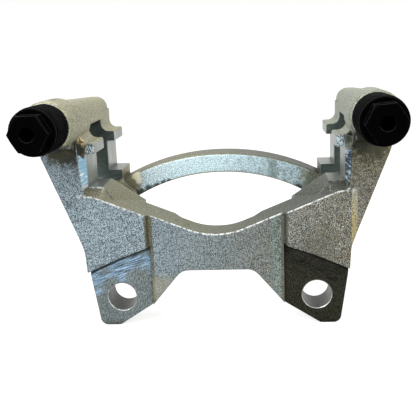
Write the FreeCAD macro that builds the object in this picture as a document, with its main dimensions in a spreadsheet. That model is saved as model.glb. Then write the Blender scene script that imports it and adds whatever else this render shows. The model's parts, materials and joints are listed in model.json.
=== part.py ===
import FreeCAD, Part
import math
import os
import re

import Sketcher

# Brake caliper bracket, millimetres.
# The origin lies on the milled face of the mounting ears, half way between the two bolt holes.
# +X runs along the row of bolt holes, +Y from the knuckle out towards the wheel, +Z up over the rotor.

doc = FreeCAD.newDocument("brake_caliper_bracket")
sheet = doc.addObject("Spreadsheet::Sheet", "Sizes")

# Driving dimensions: alias, value. Depths are counted along Y, heights from the bolt holes.
MOUNTING_EARS = [
    ("mount_spacing", 102.6),
    ("mount_bore", 15.0),
    ("mount_chamfer", 0.4),
    ("ear_thickness", 18.5),
    ("bolt_seat_diameter", 26.0),
    ("ear_raw_proud", 6.0),
    ("ear_inner_reach", 16.9),
    ("ear_raw_reach", 15.9),
    ("ear_root_round", 3.0),
    ("ear_edge_round", 1.6),
    ("ear_heel_drop", 3.8),
    ("ear_toe_reach", 1.8),
    ("ear_toe_drop", 15.6),
    ("ear_toe_round", 2.5),
    ("ear_toe_outer_reach", 12.0),
    ("ear_toe_outer_round", 4.0),
    ("ear_waist_reach", 16.0),
    ("ear_waist_z", 11.0),
    ("ear_outer_reach", 16.9),
    ("ear_side_slope", 3.0),
    ("ear_shoulder_z", 27.0),
    ("ear_shoulder_round", 12.0),
    ("spot_face_inner_z", 28.6),
    ("spot_face_outer_z", 14.6),
    ("spot_face_bow", 1.0),
    ("spot_face_round", 60.0),
]
WEB = [
    ("web_proud", 1.5),
    ("web_back", 17.0),
    ("flank_back", 21.0),
    ("web_half_width", 19.5),
    ("web_bottom_z", 14.5),
    ("web_flat_half", 18.8),
    ("web_bottom_round", 8.0),
    ("saddle_low_z", 33.8),
    ("saddle_round", 36.0),
    ("saddle_turn_x", 7.6),
    ("saddle_end_inset", 5.7),
    ("saddle_end_z", 56.0),
    ("saddle_end_round", 8.0),
    ("cast_edge", 1.0),
]
ARMS = [
    ("arm_proud", 5.0),
    ("arm_foot_inset", 6.2),
    ("arm_foot_z", 19.0),
    ("arm_inner_foot_x", 67.0),
    ("arm_inner_foot_z", 57.0),
    ("arm_inner_top_x", 69.0),
    ("arm_top_x", 87.4),
    ("arm_top_z", 76.5),
    ("arm_round", 12.0),
]
PAD_SLOTS = [
    ("slot_floor_x", 66.1),
    ("hook_end_x", 61.6),
    ("hook_bottom_z", 76.5),
    ("hook_top_z", 82.3),
    ("hook_root", 4.5),
    ("hook_round", 1.0),
    ("lug_end_x", 58.2),
    ("lug_top_z", 59.2),
    ("carrier_front", 3.8),
    ("strip_setback", 0.4),
    ("inboard_depth", 22.9),
    ("outboard_depth", 24.7),
    ("carrier_foot_z", 40.0),
    ("carrier_round", 5.0),
    ("ramp_front_x", 53.0),
    ("ramp_back_x", 40.0),
    ("ramp_lip", 3.0),
    ("outboard_inner_x", 50.0),
    ("outboard_inner_z", 44.0),
    ("outboard_foot_z", 36.0),
    ("outboard_round", 8.0),
    ("outboard_setback", 2.0),
    ("gap_face_z", 52.5),
    ("gap_face_round", 3.5),
]
ROTOR = [
    ("rotor_gap", 29.6),
    ("rotor_axis_drop", 65.0),
    ("rotor_clear_radius", 169.0),
]
BOSSES = [
    ("pin_spacing", 152.8),
    ("pin_z", 93.8),
    ("boss_diameter", 24.4),
    ("boss_length", 27.0),
    ("boss_edge", 1.0),
    ("boss_root", 7.0),
    ("boss_foot_width", 14.0),
    ("bore_depth", 49.0),
    ("boot_seat_diameter", 17.0),
    ("boot_seat_depth", 4.0),
]
BRIDGES = [
    ("bridge_inner_front_x", 67.0),
    ("bridge_inner_back_x", 69.7),
    ("bridge_start", 14.0),
    ("bridge_top_front_z", 104.9),
    ("bridge_top_back_z", 101.0),
    ("bridge_bottom_z", 82.0),
    ("bridge_bottom_round", 8.0),
    ("bridge_inner_round", 6.5),
    ("bridge_outer_round", 10.0),
    ("bridge_end_round", 2.0),
]
ARCH = [
    ("arch_setback", 3.7),
    ("arch_crown_z", 66.5),
    ("arch_height", 11.2),
    ("arch_flat_half", 1.0),
    ("arch_top_radius", 126.0),
    ("arch_top_slope", 0.5),
    ("arch_bottom_radius", 99.0),
    ("arch_bottom_slope", 0.6),
]
PINS = [
    ("pin_diameter", 10.0),
    ("pin_clearance", 0.05),
    ("pin_engagement", 35.0),
    ("pin_tip_chamfer", 1.2),
    ("hex_across_flats", 16.0),
    ("hex_height", 7.0),
    ("hex_chamfer", 1.2),
    ("flange_diameter", 21.6),
    ("flange_thickness", 2.0),
    ("flange_chamfer", 0.4),
    ("collar_groove_diameter", 12.4),
    ("collar_groove_width", 3.0),
    ("collar_height", 0.9),
    ("collar_length", 1.6),
    ("bolt_thread", 8.0),
    ("bolt_thread_pitch", 1.25),
    ("bolt_thread_depth", 18.0),
    ("right_pin_turn", 4.5),
]
BOOTS = [
    ("boot_length", 19.0),
    ("boot_diameter", 22.4),
    ("boot_folds", 3),
    ("boot_fold_depth", 1.6),
    ("boot_fold_width", 1.2),
    ("boot_wall", 1.6),
    ("boot_fit", 0.1),
]
# How far a feature reaches into the one it joins, and how far a cutter overshoots.
BUILD = [
    ("overlap", 2.0),
]
GROUPS = [MOUNTING_EARS, WEB, ARMS, PAD_SLOTS, ROTOR, BOSSES, BRIDGES, ARCH, PINS, BOOTS, BUILD]

row = 0
for group in GROUPS:
    for alias, value in group:
        row += 1
        sheet.set(f"A{row}", alias)
        sheet.set(f"B{row}", str(value))
        sheet.setAlias(f"B{row}", alias)
doc.recompute()

ALIASES = {alias for group in GROUPS for alias, _ in group}


def size(text):
    """The expression with every alias of the sheet written as Sizes.alias."""
    return re.sub(r"[a-z_]+", lambda word: "Sizes." + word[0] if word[0] in ALIASES else word[0], text)


# Only works out expressions: it holds no geometry.
reckoner = doc.addObject("App::FeaturePython", "Reckoner")


def number(text):
    """The value that an expression of aliases has now."""
    return float(reckoner.evalExpression(size(text)))


def spot(*texts):
    """A point given by two or three expressions."""
    return FreeCAD.Vector(*(number(text) for text in texts))


# Depths and places that several features share.
RAW_FACE = "( - ear_raw_proud )"
WEB_FACE = "( - web_proud )"
ARM_FACE = "( - arm_proud )"
STRIP_FACE = "( - arm_proud + strip_setback )"
GAP_START = "( carrier_front + inboard_depth )"
GAP_END = "( carrier_front + inboard_depth + rotor_gap )"
OUTBOARD_FACE = "( carrier_front + inboard_depth + rotor_gap + outboard_depth )"
MOUNT_X = "( mount_spacing / 2 )"
EAR_INNER_X = "( mount_spacing / 2 - ear_inner_reach )"
EAR_RAW_INNER_X = "( mount_spacing / 2 - ear_raw_reach )"
TOE_X = "( mount_spacing / 2 + ear_toe_reach )"
TOE_OUTER_X = "( mount_spacing / 2 + ear_toe_outer_reach )"
WAIST_X = "( mount_spacing / 2 + ear_waist_reach )"
EAR_OUTER_X = "( mount_spacing / 2 + ear_outer_reach )"
SADDLE_END_X = "( mount_spacing / 2 + ear_outer_reach - saddle_end_inset )"
ARM_FOOT_X = "( mount_spacing / 2 + ear_outer_reach - arm_foot_inset )"
PIN_X = "( pin_spacing / 2 )"
BOSS_RADIUS = "( boss_diameter / 2 )"
BOSS_OUTER_X = "( pin_spacing / 2 + boss_diameter / 2 )"
BORE_RADIUS = "( pin_diameter / 2 + pin_clearance )"
STRIP_X = "( mount_spacing / 2 + ear_outer_reach + ear_side_slope )"
FAR_X = "( arm_top_x + overlap )"
# The straight flanks of the saddle rise evenly from its turn to its end.
SADDLE_SLOPE = f"( ( saddle_end_z - saddle_low_z ) / ( {SADDLE_END_X} - saddle_turn_x ) )"
# The outer side of an arm runs straight from the ear's shoulder to the top of the arm.
ARM_SLOPE = f"( ( arm_top_x - {EAR_OUTER_X} ) / ( arm_top_z - ear_shoulder_z ) )"
EAR_SLOPE = f"( ( {EAR_OUTER_X} - {WAIST_X} ) / ( ear_shoulder_z - ear_waist_z ) )"
SPOT_SLOPE = f"( ( spot_face_inner_z - spot_face_outer_z ) / ( {EAR_OUTER_X} - {EAR_INNER_X} ) )"


def saddle_z(across):
    return f"( saddle_low_z + ( {across} - saddle_turn_x ) * {SADDLE_SLOPE} )"


def arm_outer_x(up):
    return f"( {EAR_OUTER_X} + ( {up} - ear_shoulder_z ) * {ARM_SLOPE} )"


def arm_outer_z(across):
    return f"( ear_shoulder_z + ( {across} - {EAR_OUTER_X} ) / {ARM_SLOPE} )"


def spot_face_z(across):
    return f"( spot_face_inner_z - ( {across} - {EAR_INNER_X} ) * {SPOT_SLOPE} )"


def plane(body, role):
    return next(item for item in body.Origin.OriginFeatures if item.Role == role)


def new_sketch(body, name, role, offset):
    """A sketch on one of the body's own origin planes, moved along that plane's normal."""
    sketch = body.newObject("Sketcher::SketchObject", name)
    sketch.AttachmentSupport = [(plane(body, role), "")]
    sketch.MapMode = "FlatFace"
    sketch.setExpression("AttachmentOffset.Base.z", size(offset))
    return sketch


def place(sketch, item, end, across, up):
    """Holds one point of the sketch at two distances from the sketch's origin."""
    for kind, text in (("DistanceX", across), ("DistanceY", up)):
        held = sketch.addConstraint(Sketcher.Constraint(kind, -1, 1, item, end, number(text)))
        sketch.setExpression(f"Constraints[{held}]", size(text))


def outline(sketch, corners):
    """A closed outline: straight sides, each corner (across, up) sharp or (across, up, radius) round."""
    spots = [spot(*corner[:2], "0") for corner in corners]
    radii = [number(corner[2]) if len(corner) > 2 else 0.0 for corner in corners]
    count = len(corners)
    arrive, leave, centres = [], [], []
    for i, (tip, radius) in enumerate(zip(spots, radii)):
        back = (spots[i - 1] - tip).normalize()
        ahead = (spots[(i + 1) % count] - tip).normalize()
        half_turn = back.getAngle(ahead) / 2
        arrive.append(tip + back * (radius / math.tan(half_turn)))
        leave.append(tip + ahead * (radius / math.tan(half_turn)))
        centres.append(tip + (back + ahead).normalize() * (radius / math.sin(half_turn)))
    sides = []
    for i in range(count):
        line = Part.LineSegment(leave[i], arrive[(i + 1) % count])
        sides.append(sketch.addGeometry(line, False))
    for i, corner in enumerate(corners):
        before, after = sides[i - 1], sides[i]
        if len(corner) == 2:
            sketch.addConstraint(Sketcher.Constraint("Coincident", before, 2, after, 1))
            place(sketch, after, 1, *corner)
            continue
        start, end = arrive[i] - centres[i], leave[i] - centres[i]
        left_turn = start.cross(end).z > 0
        if not left_turn:
            start, end = end, start
        angles = (math.atan2(start.y, start.x), math.atan2(end.y, end.x))
        circle = Part.Circle(centres[i], FreeCAD.Vector(0, 0, 1), radii[i])
        arc = sketch.addGeometry(Part.ArcOfCircle(circle, *angles), False)
        first, last = (1, 2) if left_turn else (2, 1)
        mark = sketch.addGeometry(Part.Point(spots[i]), True)
        place(sketch, mark, 1, *corner[:2])
        sketch.addConstraint(Sketcher.Constraint("PointOnObject", mark, 1, before))
        sketch.addConstraint(Sketcher.Constraint("PointOnObject", mark, 1, after))
        sketch.addConstraint(Sketcher.Constraint("Tangent", before, 2, arc, first))
        sketch.addConstraint(Sketcher.Constraint("Tangent", arc, last, after, 1))
        held = sketch.addConstraint(Sketcher.Constraint("Radius", arc, radii[i]))
        sketch.setExpression(f"Constraints[{held}]", size(corner[2]))


def circle_outline(sketch, across, up, radius):
    """One full circle, held by its centre and radius."""
    circle = Part.Circle(spot(across, up, "0"), FreeCAD.Vector(0, 0, 1), number(radius))
    ring = sketch.addGeometry(circle, False)
    place(sketch, ring, 3, across, up)
    held = sketch.addConstraint(Sketcher.Constraint("Radius", ring, number(radius)))
    sketch.setExpression(f"Constraints[{held}]", size(radius))


def front_sketch(body, name, start):
    """A sketch seen from the knuckle, at the depth start along +Y."""
    return new_sketch(body, name + "_outline", "XZ_Plane", f"-( {start} )")


def pad(body, name, start, depth, corners):
    """Adds an outline seen from the knuckle, from depth start on along +Y."""
    sketch = front_sketch(body, name, start)
    outline(sketch, corners)
    feature = body.newObject("PartDesign::Pad", name)
    feature.Profile = sketch
    feature.Reversed = True
    feature.setExpression("Length", size(depth))
    doc.recompute()
    return feature


def cut(body, name, sketch, depth, reversed_way=False, both_ways=False):
    """A pocket along the sketch's depth, which has to take some metal away."""
    before = body.Tip.Shape.Volume
    feature = body.newObject("PartDesign::Pocket", name)
    feature.Profile = sketch
    feature.Reversed = reversed_way
    feature.Midplane = both_ways
    feature.setExpression("Length", size(depth))
    doc.recompute()
    if feature.Shape.Volume >= before:
        raise RuntimeError(f"{name} cuts nothing")
    return feature


def round_cut(body, name, start, depth, across, up, radius):
    """Cuts a round hole from depth start on along +Y."""
    sketch = front_sketch(body, name, start)
    circle_outline(sketch, across, up, radius)
    return cut(body, name, sketch, depth)


def dress(body, kind, name, width, spots):
    """A fillet or chamfer on the edges of the body that pass nearest to the given points."""
    shape = body.Tip.Shape
    names = []
    for texts in spots:
        mark = Part.Vertex(spot(*texts))
        nearest = min(range(len(shape.Edges)), key=lambda i: shape.Edges[i].distToShape(mark)[0])
        names.append(f"Edge{nearest + 1}")
    base = body.Tip
    feature = body.newObject("PartDesign::" + kind, name)
    feature.Base = (base, sorted(set(names)))
    feature.setExpression("Radius" if kind == "Fillet" else "Size", size(width))
    doc.recompute()
    return feature


half = doc.addObject("PartDesign::Body", "right_half")

# Plate that bolts to the knuckle: the web and one ear, in one outline.
pad(half, "plate", RAW_FACE, "ear_raw_proud + flank_back", [
    ("0", "web_bottom_z"),
    ("web_flat_half", "web_bottom_z", "web_bottom_round"),
    (EAR_INNER_X, "- ear_heel_drop"),
    (TOE_X, "- ear_toe_drop", "ear_toe_round"),
    (TOE_OUTER_X, "- ear_toe_drop", "ear_toe_outer_round"),
    (WAIST_X, "ear_waist_z", "ear_shoulder_round"),
    (EAR_OUTER_X, "ear_shoulder_z", "ear_shoulder_round"),
    (STRIP_X, arm_outer_z(STRIP_X)),
    (STRIP_X, "saddle_end_z"),
    (SADDLE_END_X, "saddle_end_z", "saddle_end_round"),
    ("saddle_turn_x", "saddle_low_z", "saddle_round"),
    ("0", "saddle_low_z"),
])
# Front of the plate: the web lies back from the raised ear, with a cast root between them.
front_relief = new_sketch(half, "front_relief_outline", "XY_Plane", "0")
outline(front_relief, [
    ("- overlap", WEB_FACE),
    (EAR_RAW_INNER_X, WEB_FACE, "ear_root_round"),
    (EAR_RAW_INNER_X, RAW_FACE, "ear_edge_round"),
    (EAR_OUTER_X, RAW_FACE),
    (STRIP_X, ARM_FACE),
    (STRIP_X + " + overlap", ARM_FACE),
    (STRIP_X + " + overlap", RAW_FACE + " - overlap"),
    ("- overlap", RAW_FACE + " - overlap"),
])
cut(half, "front_relief", front_relief, "4 * pin_z", both_ways=True)
# Back of the web, thinner than the flanks that lead to the ears.
back_relief = new_sketch(half, "back_relief_outline", "XY_Plane", "0")
outline(back_relief, [
    ("- overlap", "web_back"),
    ("web_half_width", "web_back", "cast_edge"),
    ("web_half_width + flank_back - web_back", "flank_back"),
    ("web_half_width + flank_back - web_back", "flank_back + overlap"),
    ("- overlap", "flank_back + overlap"),
])
cut(half, "back_relief", back_relief, "4 * pin_z", both_ways=True)

# Arm from the ear's shoulder up and out to the pin boss.
pad(half, "arm", ARM_FACE, "arm_proud + flank_back", [
    (ARM_FOOT_X, "arm_foot_z"),
    (f"{WAIST_X} + ( arm_foot_z - ear_waist_z ) * {EAR_SLOPE}", "arm_foot_z"),
    (EAR_OUTER_X, "ear_shoulder_z", "ear_shoulder_round"),
    ("arm_top_x", "arm_top_z", "arm_round"),
    (BOSS_OUTER_X, "pin_z"),
    ("arm_inner_top_x", "pin_z"),
    ("arm_inner_top_x", "arm_top_z"),
    ("arm_inner_foot_x", "arm_inner_foot_z"),
    (ARM_FOOT_X, "saddle_end_z - overlap"),
])
# Boss that carries the guide pin, in front of the arm.
boss_sketch = front_sketch(half, "boss", "- boss_length")
circle_outline(boss_sketch, PIN_X, "pin_z", BOSS_RADIUS)
boss = half.newObject("PartDesign::Pad", "boss")
boss.Profile = boss_sketch
boss.Reversed = True
boss.setExpression("Length", size("boss_length - arm_proud"))
doc.recompute()
# Foot under the boss, hollowed into the arm's face with the cast root radius.
FOOT_Z = f"( pin_z - {BOSS_RADIUS} )"
foot_sketch = new_sketch(half, "boss_foot_outline", "YZ_Plane", f"{PIN_X} - boss_foot_width / 2")
outline(foot_sketch, [
    (ARM_FACE + " + overlap", f"{FOOT_Z} - boss_root - overlap"),
    (ARM_FACE, f"{FOOT_Z} - boss_root - overlap"),
    (ARM_FACE, FOOT_Z, "boss_root"),
    (ARM_FACE + " - boss_root - overlap", FOOT_Z),
    (ARM_FACE + " - boss_root - overlap", "pin_z"),
    (ARM_FACE + " + overlap", "pin_z"),
])
boss_foot = half.newObject("PartDesign::Pad", "boss_foot")
boss_foot.Profile = foot_sketch
boss_foot.setExpression("Length", size("boss_foot_width"))
doc.recompute()


def bridge_section(name, depth, inner, top):
    sketch = front_sketch(half, name, depth)
    outline(sketch, [
        (inner, "bridge_bottom_z", "bridge_bottom_round"),
        (BOSS_OUTER_X, "bridge_bottom_z", "bridge_bottom_round"),
        (BOSS_OUTER_X, top, "bridge_outer_round"),
        (inner, top, "bridge_inner_round"),
    ])
    return sketch


# Bridge over the rotor, drawn in a little towards its outboard end as a casting is.
near = bridge_section("bridge_near", "- bridge_start", "bridge_inner_front_x", "bridge_top_front_z")
far = bridge_section("bridge_far", OUTBOARD_FACE, "bridge_inner_back_x", "bridge_top_back_z")
bridge = half.newObject("PartDesign::AdditiveLoft", "bridge")
bridge.Profile = near
bridge.Sections = [far]
bridge.Ruled = True
doc.recompute()

# The rotor's edge passes under the bridge.
round_cut(half, "rotor_groove", GAP_START, "rotor_gap", "0", "- rotor_axis_drop", "rotor_clear_radius")

# Broached slot for one end of a pad's backing plate: a hook above, a lug below.
HOOK_INNER_X = "( ( bridge_inner_front_x + bridge_inner_back_x + 1.4 ) / 2 )"
SLOT_CONTOUR = [
    (HOOK_INNER_X, "pin_z"),
    (HOOK_INNER_X, "hook_top_z", "hook_root"),
    ("hook_end_x", "hook_top_z", "hook_round"),
    ("hook_end_x", "hook_bottom_z"),
    ("slot_floor_x", "hook_bottom_z"),
    ("slot_floor_x", "lug_top_z"),
    ("lug_end_x", "lug_top_z"),
]
pad(half, "inboard_carrier", "carrier_front", "inboard_depth", SLOT_CONTOUR + [
    ("lug_end_x", "carrier_foot_z", "carrier_round"),
    (arm_outer_x("carrier_foot_z"), "carrier_foot_z", "carrier_round"),
    ("arm_top_x", "arm_top_z", "arm_round"),
    (BOSS_OUTER_X, "pin_z"),
])
OUTBOARD_SIDE_X = f"( {arm_outer_x('lug_top_z')} - overlap )"
OUTBOARD_CAST = "( carrier_front + inboard_depth + rotor_gap + outboard_setback )"
pad(half, "outboard_carrier", OUTBOARD_CAST, "outboard_depth - outboard_setback", SLOT_CONTOUR + [
    ("lug_end_x", "outboard_inner_z + outboard_round"),
    ("outboard_inner_x", "outboard_inner_z"),
    ("slot_floor_x", "outboard_foot_z", "outboard_round"),
    (OUTBOARD_SIDE_X, "lug_top_z", "arm_round"),
    ("arm_top_x", "arm_top_z", "arm_round"),
    (BOSS_OUTER_X, "pin_z"),
])
# Face towards the rotor, milled only as far down as the pad needs.
OUTBOARD_SIDE_SLOPE = f"( ( {OUTBOARD_SIDE_X} - slot_floor_x ) / ( lug_top_z - outboard_foot_z ) )"
pad(half, "outboard_gap_face", GAP_END, "outboard_setback + overlap", SLOT_CONTOUR + [
    ("lug_end_x", "gap_face_z", "gap_face_round"),
    (f"slot_floor_x + ( gap_face_z - outboard_foot_z ) * {OUTBOARD_SIDE_SLOPE}", "gap_face_z"),
    (OUTBOARD_SIDE_X, "lug_top_z", "arm_round"),
    ("arm_top_x", "arm_top_z", "arm_round"),
    (BOSS_OUTER_X, "pin_z"),
])


def ramp_section(name, depth, foot_x, foot_z, lip):
    sketch = front_sketch(half, name, depth)
    outline(sketch, [
        ("lug_end_x", "lug_top_z"),
        ("lug_end_x + overlap", "lug_top_z"),
        ("lug_end_x + overlap", f"{foot_z} - {lip}"),
        (foot_x, f"{foot_z} - {lip}"),
        (foot_x, foot_z),
    ])
    return sketch


# Ramp from the inboard lug down to the saddle, wider towards the rotor.
ramp_near = ramp_section("ramp_near", "carrier_front", "ramp_front_x", saddle_z("ramp_front_x"), "ramp_lip")
ramp_far = ramp_section("ramp_far", GAP_START, "ramp_back_x", saddle_z("ramp_back_x"), "ramp_lip")
ramp = half.newObject("PartDesign::AdditiveLoft", "ramp")
ramp.Profile = ramp_near
ramp.Sections = [ramp_far]
ramp.Ruled = True
doc.recompute()


def floor_section(name, depth, lug_z, arm_z):
    """Section of the sloping floor in front of the inboard lug, from the ramp's foot to the arm."""
    sketch = front_sketch(half, name, depth)
    inner_z = saddle_z("ramp_front_x")
    outline(sketch, [
        ("ramp_front_x", f"{inner_z} - strip_setback"),
        ("lug_end_x", lug_z),
        ("arm_inner_top_x", arm_z),
        ("arm_inner_top_x", f"{inner_z} - carrier_round"),
        ("ramp_front_x", f"{inner_z} - carrier_round"),
    ])
    return sketch


# Floor that slopes from the inboard lug down to the front of the saddle.
FLOOR_LUG_Z = f"{saddle_z('lug_end_x')} - strip_setback"
floor_near = floor_section("floor_near", STRIP_FACE, FLOOR_LUG_Z, "saddle_end_z - strip_setback")
FLOOR_TOP_Z = "lug_top_z - strip_setback / 2"
floor_far = floor_section("floor_far", "carrier_front + overlap / 2", FLOOR_TOP_Z, FLOOR_TOP_Z)
floor = half.newObject("PartDesign::AdditiveLoft", "sloping_floor")
floor.Profile = floor_near
floor.Sections = [floor_far]
floor.Ruled = True
doc.recompute()


def strip_section(name, up, inner):
    """Level section of the milled strip that leads from the arm's face into the inboard slot."""
    sketch = new_sketch(half, name, "XY_Plane", up)
    outline(sketch, [
        ("slot_floor_x", "carrier_front"),
        (inner, STRIP_FACE),
        (inner + " + overlap", STRIP_FACE),
        (inner + " + overlap", "carrier_front"),
    ])
    return sketch


strip_low = strip_section("strip_low", "arm_inner_foot_z", "arm_inner_foot_x")
strip_high = strip_section("strip_high", "hook_top_z", "arm_inner_top_x")
strip = half.newObject("PartDesign::AdditiveLoft", "milled_strip")
strip.Profile = strip_low
strip.Sections = [strip_high]
strip.Ruled = True
doc.recompute()

# Tie arch that joins the outboard carriers under the rotor's rim.
ARCH_FLOOR = "( arch_crown_z - arch_height )"
ARCH_TOP_TURN = "( arch_flat_half + arch_top_radius * tan( atan( arch_top_slope ) / 2 ) )"
ARCH_BOTTOM_TURN = "( arch_flat_half + arch_bottom_radius * tan( atan( arch_bottom_slope ) / 2 ) )"
ARCH_END = "( lug_end_x + overlap )"
pad(half, "arch", GAP_END + " + arch_setback", "outboard_depth - arch_setback", [
    ("0", "arch_crown_z"),
    (ARCH_TOP_TURN, "arch_crown_z", "arch_top_radius"),
    (ARCH_END, f"arch_crown_z - arch_top_slope * ( {ARCH_END} - {ARCH_TOP_TURN} )"),
    (ARCH_END, f"{ARCH_FLOOR} - arch_bottom_slope * ( {ARCH_END} - {ARCH_BOTTOM_TURN} )"),
    (ARCH_BOTTOM_TURN, ARCH_FLOOR, "arch_bottom_radius"),
    ("0", ARCH_FLOOR),
])

# Milled face of the ear, cut back to the mounting plane below a slanting, slightly bowed line.
spot_sketch = front_sketch(half, "spot_face", "0")
SPOT_MIDDLE_X = f"( ( {EAR_INNER_X} + {EAR_OUTER_X} ) / 2 )"
outline(spot_sketch, [
    (EAR_INNER_X, "- ear_toe_drop - overlap"),
    (FAR_X, "- ear_toe_drop - overlap"),
    (FAR_X, spot_face_z(FAR_X)),
    (SPOT_MIDDLE_X, f"{spot_face_z(SPOT_MIDDLE_X)} + spot_face_bow", "spot_face_round"),
    (EAR_INNER_X, "spot_face_inner_z"),
])
cut(half, "spot_face", spot_sketch, "ear_raw_proud + overlap", reversed_way=True)
BOLT_SEAT_DEPTH = "flank_back - ear_thickness"
round_cut(half, "bolt_seat", "ear_thickness", BOLT_SEAT_DEPTH, MOUNT_X, "0", "bolt_seat_diameter / 2")
round_cut(half, "mount_hole", "0", "ear_thickness", MOUNT_X, "0", "mount_bore / 2")
dress(half, "Chamfer", "mount_hole_chamfer", "mount_chamfer", [
    (MOUNT_X, "0", "mount_bore / 2"),
    (MOUNT_X, "ear_thickness", "mount_bore / 2"),
])
round_cut(half, "pin_bore", "- boss_length", "bore_depth", PIN_X, "pin_z", BORE_RADIUS)
round_cut(half, "boot_seat", "- boss_length", "boot_seat_depth", PIN_X, "pin_z", "boot_seat_diameter / 2")
dress(half, "Chamfer", "boss_front_edge", "boss_edge", [
    (PIN_X, "- boss_length", f"pin_z + {BOSS_RADIUS}"),
])
# Cast edges of the arch, and the softer end of the bridge.
dress(half, "Fillet", "arch_edges", "cast_edge", [
    ("arch_flat_half / 2", GAP_END + " + arch_setback", "arch_crown_z"),
    ("arch_flat_half / 2", OUTBOARD_FACE, "arch_crown_z"),
    ("arch_flat_half / 2", GAP_END + " + arch_setback", ARCH_FLOOR),
    ("arch_flat_half / 2", OUTBOARD_FACE, ARCH_FLOOR),
])
BRIDGE_CROWN_X = f"( ( bridge_inner_back_x + bridge_inner_round + {BOSS_OUTER_X} - bridge_outer_round ) / 2 )"
dress(half, "Fillet", "bridge_end", "bridge_end_round", [
    (BRIDGE_CROWN_X, OUTBOARD_FACE, "bridge_top_back_z"),
])

mirror = doc.addObject("Part::Mirroring", "left_half")
mirror.Source = half
mirror.Base = FreeCAD.Vector(0, 0, 0)
mirror.Normal = FreeCAD.Vector(1, 0, 0)
casting = doc.addObject("Part::Fuse", "casting")
casting.Base = half
casting.Tool = mirror
casting.Refine = True
casting.Label = "bracket_casting"
doc.recompute()

# Places along a guide pin, counted from the mounting plane.
FLANGE_BACK = "( - boss_length - boot_length )"
FLANGE_FRONT = "( - boss_length - boot_length - flange_thickness )"
HEX_FRONT = "( - boss_length - boot_length - flange_thickness - hex_height )"
PIN_TIP = "( - boss_length + pin_engagement )"
HEX_CORNER = "( hex_across_flats / sqrt(3) )"
HEX_FLAT = "( hex_across_flats / 2 )"
GROOVE_RADIUS = "( collar_groove_diameter / 2 )"
# A tapped hole is modelled at the mean height of its thread.
THREAD_RADIUS = "( ( bolt_thread - bolt_thread_pitch ) / 2 )"


def revolve(body, name, corners, kind="PartDesign::Revolution"):
    """Turns an outline of (radius, depth) corners once round the body's Y axis."""
    sketch = new_sketch(body, name + "_outline", "XY_Plane", "0")
    outline(sketch, corners)
    feature = body.newObject(kind, name)
    feature.Profile = sketch
    feature.ReferenceAxis = (sketch, ["V_Axis"])
    feature.Angle = 360
    doc.recompute()
    return feature


def guide_pin(label):
    """Guide pin: turned shank with a groove for the boot, a flange and a hexagon with a tapped hole."""
    body = doc.addObject("PartDesign::Body", label)
    collar_start = f"{FLANGE_BACK} + collar_groove_width"
    collar_end = f"{collar_start} + collar_length"
    collar_radius = f"{GROOVE_RADIUS} + collar_height"
    revolve(body, label + "_turning", [
        ("0", FLANGE_FRONT),
        ("flange_diameter / 2 - flange_chamfer", FLANGE_FRONT),
        ("flange_diameter / 2", FLANGE_FRONT + " + flange_chamfer"),
        ("flange_diameter / 2", FLANGE_BACK + " - flange_chamfer"),
        ("flange_diameter / 2 - flange_chamfer", FLANGE_BACK),
        (GROOVE_RADIUS, FLANGE_BACK),
        (GROOVE_RADIUS, collar_start),
        (collar_radius, collar_start),
        (collar_radius, collar_end),
        ("pin_diameter / 2", collar_end),
        ("pin_diameter / 2", f"{PIN_TIP} - pin_tip_chamfer"),
        ("pin_diameter / 2 - pin_tip_chamfer", PIN_TIP),
        ("0", PIN_TIP),
    ])
    pad(body, label + "_hexagon", HEX_FRONT, "hex_height + flange_thickness / 2", [
        (HEX_CORNER, "0"),
        (f"{HEX_CORNER} / 2", HEX_FLAT),
        (f"- {HEX_CORNER} / 2", HEX_FLAT),
        (f"- {HEX_CORNER}", "0"),
        (f"- {HEX_CORNER} / 2", f"- {HEX_FLAT}"),
        (f"{HEX_CORNER} / 2", f"- {HEX_FLAT}"),
    ])
    before = body.Tip.Shape.Volume
    chamfer = revolve(body, label + "_hexagon_chamfer", [
        (f"{HEX_CORNER} - hex_chamfer - overlap", f"{HEX_FRONT} - overlap / 2"),
        (f"{HEX_CORNER} + overlap", f"{HEX_FRONT} - overlap / 2"),
        (f"{HEX_CORNER} + overlap", f"{HEX_FRONT} + ( hex_chamfer + overlap ) / 2"),
    ], "PartDesign::Groove")
    if chamfer.Shape.Volume >= before:
        raise RuntimeError(f"{label}: the chamfer cuts nothing")
    round_cut(body, label + "_tapped_hole", HEX_FRONT, "bolt_thread_depth", "0", "0", THREAD_RADIUS)
    return body


def pin_boot(label):
    """Rubber boot: a collar in the pin's groove, a ribbed barrel, and a lip in the boss's seat."""
    body = doc.addObject("PartDesign::Body", label)
    crest = "boot_diameter / 2"
    valley = f"{crest} - boot_fold_depth"
    count = int(number("boot_folds"))
    start = f"{FLANGE_BACK} + boot_fit"
    end = "- boss_length - boot_fit"
    pitch = f"( ( boot_length - 2 * boot_fit ) / ( {count} + 1 ) )"
    collar_bore = f"{GROOVE_RADIUS} + boot_fit"
    collar_end = f"{FLANGE_BACK} + collar_groove_width - boot_fit"
    lip = "boot_seat_diameter / 2 - boot_fit"
    lip_end = "- boss_length + boot_seat_depth - boot_fit"
    folds = []
    for fold in range(1, count + 1):
        middle = f"{start} + {fold} * {pitch}"
        folds.append((crest, f"{middle} - boot_fold_width / 2"))
        folds.append((valley, f"{middle} - boot_fold_width / 2"))
        folds.append((valley, f"{middle} + boot_fold_width / 2"))
        folds.append((crest, f"{middle} + boot_fold_width / 2"))
    revolve(body, label + "_turning", [
        (collar_bore, start),
        (crest, start),
    ] + folds + [
        (crest, end),
        (lip, end),
        (lip, lip_end),
        (f"{lip} - boot_wall", lip_end),
        (f"{lip} - boot_wall", f"{end} - boot_wall"),
        (f"{valley} - boot_wall", f"{end} - boot_wall"),
        (f"{valley} - boot_wall", collar_end),
        (collar_bore, collar_end),
    ])
    return body


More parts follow.
